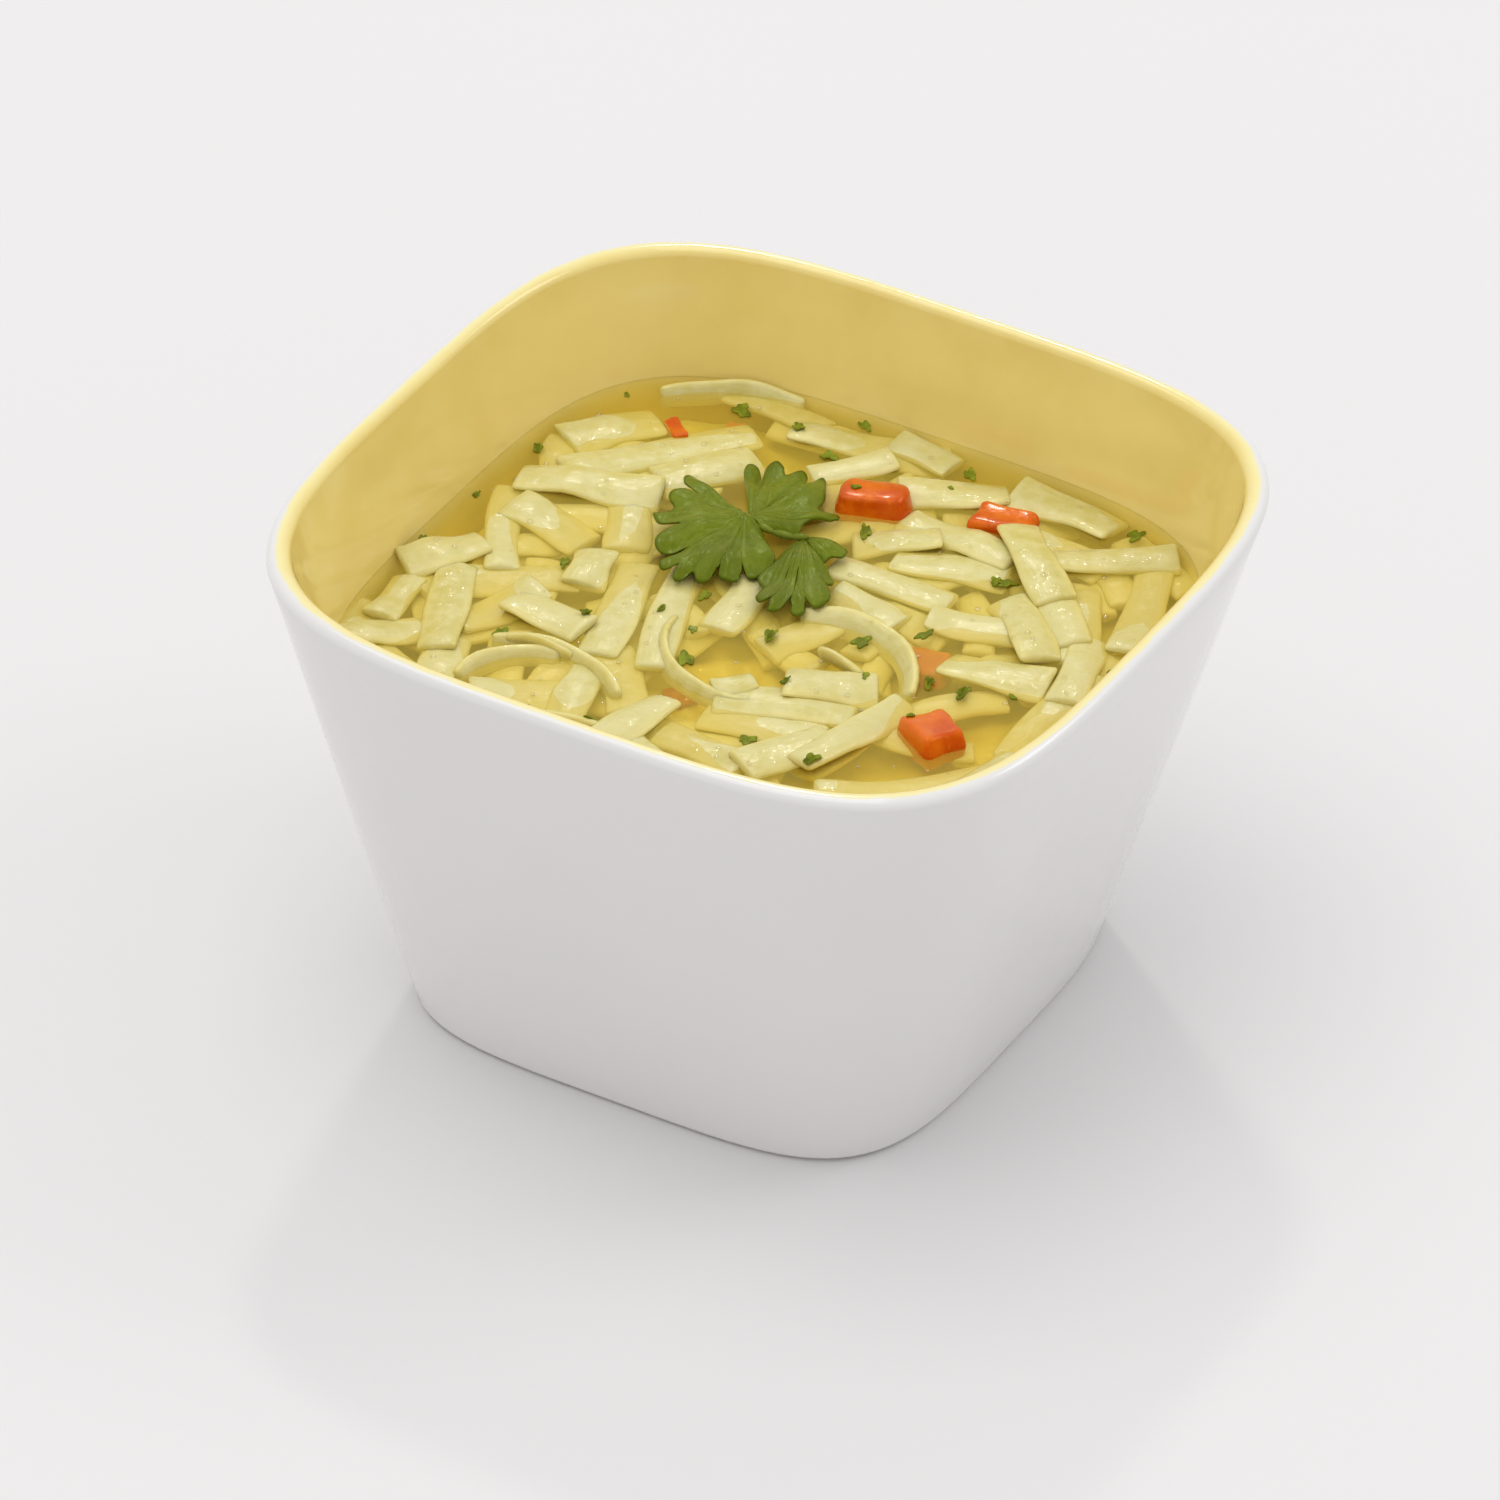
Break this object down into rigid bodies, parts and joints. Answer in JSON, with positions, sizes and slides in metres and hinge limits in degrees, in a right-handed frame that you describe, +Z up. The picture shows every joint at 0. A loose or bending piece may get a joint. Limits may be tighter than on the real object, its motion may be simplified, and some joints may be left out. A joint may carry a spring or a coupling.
{
  "type": "bowl of chicken noodle soup",
  "caption": "Chicken noodle soup with short flat noodles, diced carrot and a parsley sprig, served in a square tapered porcelain bowl.",
  "frame": {"origin": "centre of the flat underside that the bowl stands on", "axes": "+Z up, X and Y along the bowl's sides; the leaf garnish lies on the +X side"},
  "size_m": [0.1124, 0.1156, 0.0724],
  "materials": {
    "glazed_porcelain": "glossy glaze, white outside and ochre yellow inside",
    "broth": "clear golden liquid, glossy",
    "noodle": "wet, pale cream-yellow",
    "carrot": "wet, cooked",
    "parsley": "fresh leaf, satin"
  },
  "bodies": {
    "root": {"bowl": "glazed_porcelain", "broth": "broth", "noodles": "noodle", "carrot_rear": "carrot", "carrot_right": "carrot", "carrot_front": "carrot", "parsley_sprig": "parsley"}
  },
  "joints": []
}
